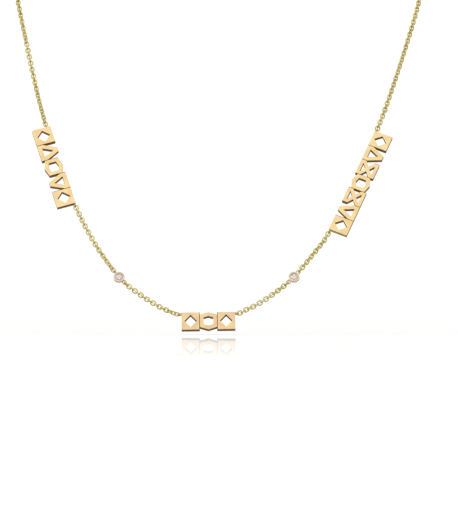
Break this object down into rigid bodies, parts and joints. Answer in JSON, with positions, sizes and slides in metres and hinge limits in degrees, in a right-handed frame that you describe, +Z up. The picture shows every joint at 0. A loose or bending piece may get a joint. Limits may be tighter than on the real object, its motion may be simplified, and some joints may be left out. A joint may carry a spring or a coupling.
{
  "type": "nameplate necklace",
  "caption": "Fine cable chain necklace in its worn form, carrying flat pierced plates and small round bezel-set stones, closed at the nape by a spring ring.",
  "frame": {"origin": "middle of the neck opening, in the plane of symmetry of the middle plate's place, level with the clasp at the nape", "axes": "+Z up along the wearer's neck, +X towards the right of the picture, the front of the necklace faces -Y"},
  "size_m": [0.1152, 0.1124, 0.1233],
  "materials": {
    "plate_gold": "polished gold with a light peach tone",
    "bezel_gold": "polished rose gold",
    "chain_gold": "polished yellow gold",
    "clasp_gold": "polished yellow gold",
    "pink_stone": "cut and polished, pale pink",
    "clear_stone": "cut and polished, colourless"
  },
  "bodies": {
    "root": {"left_plate": "plate_gold", "middle_plate": "plate_gold", "right_plate": "plate_gold", "left_bezel": "bezel_gold", "right_bezel": "bezel_gold", "left_stone": "pink_stone", "right_stone": "clear_stone", "inner_left_chain": "chain_gold", "lower_left_chain": "chain_gold", "upper_left_chain": "chain_gold", "inner_right_chain": "chain_gold", "lower_right_chain": "chain_gold", "upper_right_chain": "chain_gold", "back_left_chain": "chain_gold", "back_right_chain": "chain_gold", "clasp": "clasp_gold", "end_ring": "clasp_gold"}
  },
  "joints": []
}
